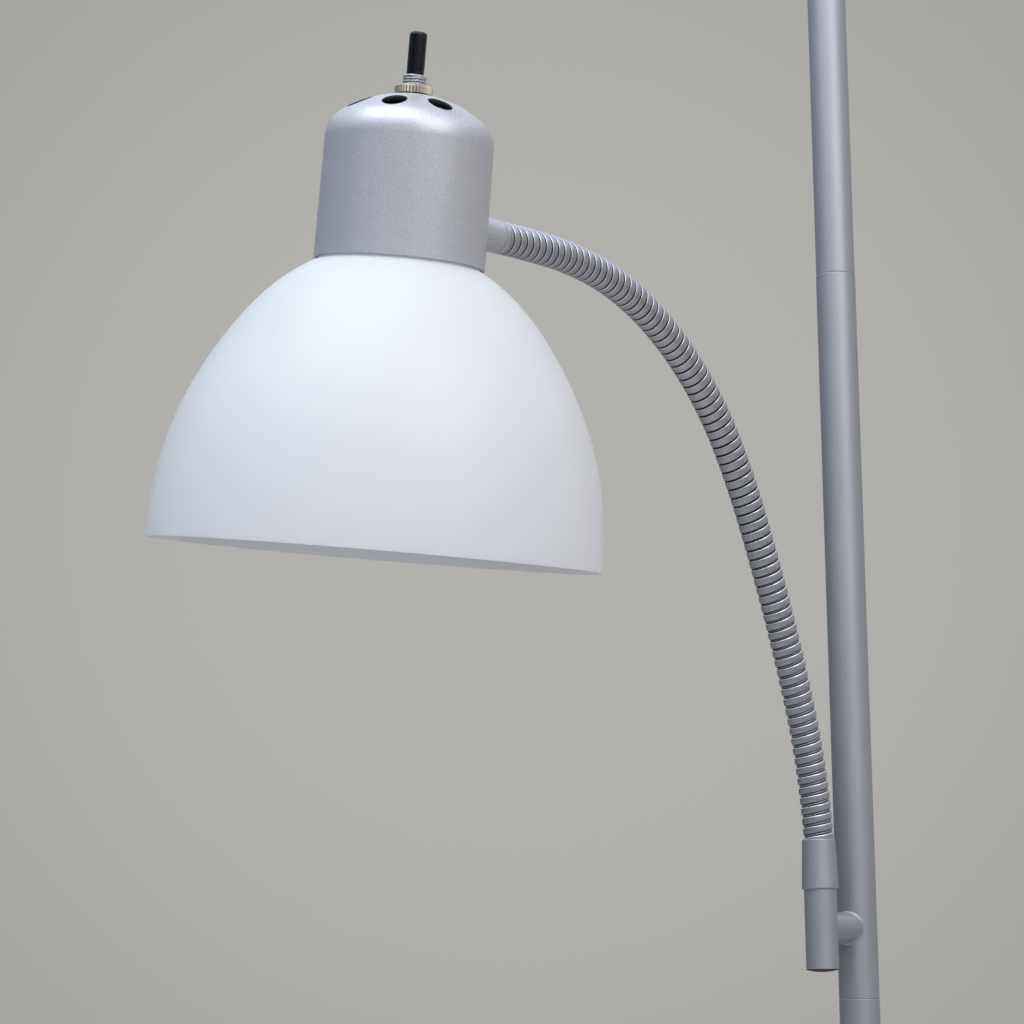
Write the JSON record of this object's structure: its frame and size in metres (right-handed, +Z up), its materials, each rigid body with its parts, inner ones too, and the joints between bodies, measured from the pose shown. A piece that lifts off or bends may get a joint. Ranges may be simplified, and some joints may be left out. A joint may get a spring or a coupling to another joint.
{
  "type": "torchiere floor lamp with reading light",
  "caption": "Upright floor lamp: an upward bowl on a slim screwed pole, and a bell-shaded reading light on a flexible ribbed arm from the pole's side.",
  "frame": {"origin": "centre of the foot's underside, on the floor and on the pole's axis", "axes": "+Z up the pole; the flexible arm lies in the XZ plane and reaches towards -X"},
  "size_m": [0.5785, 0.32, 1.8027],
  "materials": {
    "satin_silver": "satin silver-grey metallic paint",
    "cast_weight": "rough",
    "felt": "matte felt",
    "zinc_steel": "satin",
    "nickel": "bright nickel",
    "opal_shade": "smooth opal white",
    "black_gloss": "gloss",
    "black_plastic": "matte",
    "brass": "bright",
    "opal_bulb": "frosted white",
    "lead": "matte"
  },
  "bodies": {
    "stand": {"arm_collar": "satin_silver", "arm_link_01": "satin_silver", "arm_spigot": "zinc_steel", "base_collar": "satin_silver", "base_cover": "satin_silver", "base_nut": "zinc_steel", "base_pad": "felt", "base_spacer": "zinc_steel", "base_stud": "zinc_steel", "base_washer": "zinc_steel", "base_weight": "cast_weight", "cord_inlet": "black_plastic", "cross_stub": "satin_silver", "inner_leads": "lead", "pole_inserts": "zinc_steel", "pole_section_1": "satin_silver", "pole_section_2": "satin_silver", "pole_section_3": "satin_silver", "pole_section_4": "satin_silver", "pole_studs": "zinc_steel", "receiver_plug": "black_plastic", "receiver_tube": "satin_silver", "torchiere_bowl": "opal_shade", "torchiere_bowl_ring": "zinc_steel", "torchiere_bulb": "opal_bulb", "torchiere_cap": "satin_silver", "torchiere_contact": "brass", "torchiere_nuts": "zinc_steel", "torchiere_screw_shell": "brass", "torchiere_socket": "black_plastic", "torchiere_stud": "zinc_steel", "torchiere_switch_body": "black_plastic", "torchiere_switch_bushing": "nickel", "torchiere_switch_nut": "nickel"},
    "arm_link_02": {"arm_link_02": "satin_silver"},
    "arm_link_03": {"arm_link_03": "satin_silver"},
    "arm_link_04": {"arm_link_04": "satin_silver"},
    "arm_link_05": {"arm_link_05": "satin_silver"},
    "arm_link_06": {"arm_link_06": "satin_silver"},
    "arm_link_07": {"arm_link_07": "satin_silver"},
    "arm_link_08": {"arm_link_08": "satin_silver"},
    "arm_link_09": {"arm_link_09": "satin_silver"},
    "arm_link_10": {"arm_link_10": "satin_silver"},
    "arm_link_11": {"arm_link_11": "satin_silver"},
    "reading_head": {"arm_link_12": "satin_silver", "neck_nut": "zinc_steel", "neck_tube": "satin_silver", "reading_bulb": "opal_bulb", "reading_cap": "satin_silver", "reading_contact": "brass", "reading_hanger": "zinc_steel", "reading_screw_shell": "brass", "reading_shade": "opal_shade", "reading_shade_ring": "zinc_steel", "reading_socket": "black_plastic", "reading_switch_body": "black_plastic", "reading_switch_bushing": "nickel", "reading_switch_nut": "nickel"},
    "reading_knob": {"reading_switch_knob": "black_gloss"},
    "torchiere_knob": {"torchiere_switch_knob": "black_gloss"}
  },
  "joints": [
    {"name": "arm_bend_01", "type": "hinge", "parent": "stand", "child": "arm_link_02", "pos_m": [-0.03612, 0, 0.93574], "axis": [0, -1, 0], "range_deg": [-7.5, 7.5]},
    {"name": "arm_bend_02", "type": "hinge", "parent": "arm_link_02", "child": "arm_link_03", "pos_m": [-0.04459, 0, 0.96617], "axis": [0, -1, 0], "range_deg": [-7.5, 7.5]},
    {"name": "arm_side_03", "type": "hinge", "parent": "arm_link_03", "child": "arm_link_04", "pos_m": [-0.05568, 0, 0.99576], "axis": [0.9265, 0, 0.3762], "range_deg": [-7.5, 7.5]},
    {"name": "arm_bend_04", "type": "hinge", "parent": "arm_link_04", "child": "arm_link_05", "pos_m": [-0.0682, 0, 1.02477], "axis": [0, -1, 0], "range_deg": [-7.5, 7.5]},
    {"name": "arm_bend_05", "type": "hinge", "parent": "arm_link_05", "child": "arm_link_06", "pos_m": [-0.08202, 0, 1.05319], "axis": [0, -1, 0], "range_deg": [-7.5, 7.5]},
    {"name": "arm_side_06", "type": "hinge", "parent": "arm_link_06", "child": "arm_link_07", "pos_m": [-0.09814, 0, 1.08036], "axis": [0.8281, 0, 0.5606], "range_deg": [-7.5, 7.5]},
    {"name": "arm_bend_07", "type": "hinge", "parent": "arm_link_07", "child": "arm_link_08", "pos_m": [-0.11846, 0, 1.10449], "axis": [0, -1, 0], "range_deg": [-7.5, 7.5]},
    {"name": "arm_bend_08", "type": "hinge", "parent": "arm_link_08", "child": "arm_link_09", "pos_m": [-0.14326, 0, 1.12399], "axis": [0, -1, 0], "range_deg": [-7.5, 7.5]},
    {"name": "arm_side_09", "type": "hinge", "parent": "arm_link_09", "child": "arm_link_10", "pos_m": [-0.1715, 0, 1.13806], "axis": [0.3502, 0, 0.9367], "range_deg": [-7.5, 7.5]},
    {"name": "arm_bend_10", "type": "hinge", "parent": "arm_link_10", "child": "arm_link_11", "pos_m": [-0.20204, 0, 1.14596], "axis": [0, -1, 0], "range_deg": [-7.5, 7.5]},
    {"name": "arm_bend_11", "type": "hinge", "parent": "arm_link_11", "child": "reading_head", "pos_m": [-0.23353, 0, 1.1483], "axis": [0, -1, 0], "range_deg": [-7.5, 7.5]},
    {"name": "reading_switch_turn", "type": "hinge", "parent": "reading_head", "child": "reading_knob", "pos_m": [-0.33367, -0.00923, 1.20469], "axis": [-0.0379, -0.153, 0.9875], "continuous": true},
    {"name": "torchiere_switch_turn", "type": "hinge", "parent": "stand", "child": "torchiere_knob", "pos_m": [0, -0.05, 1.607], "axis": [0, -1, 0], "continuous": true}
  ]
}
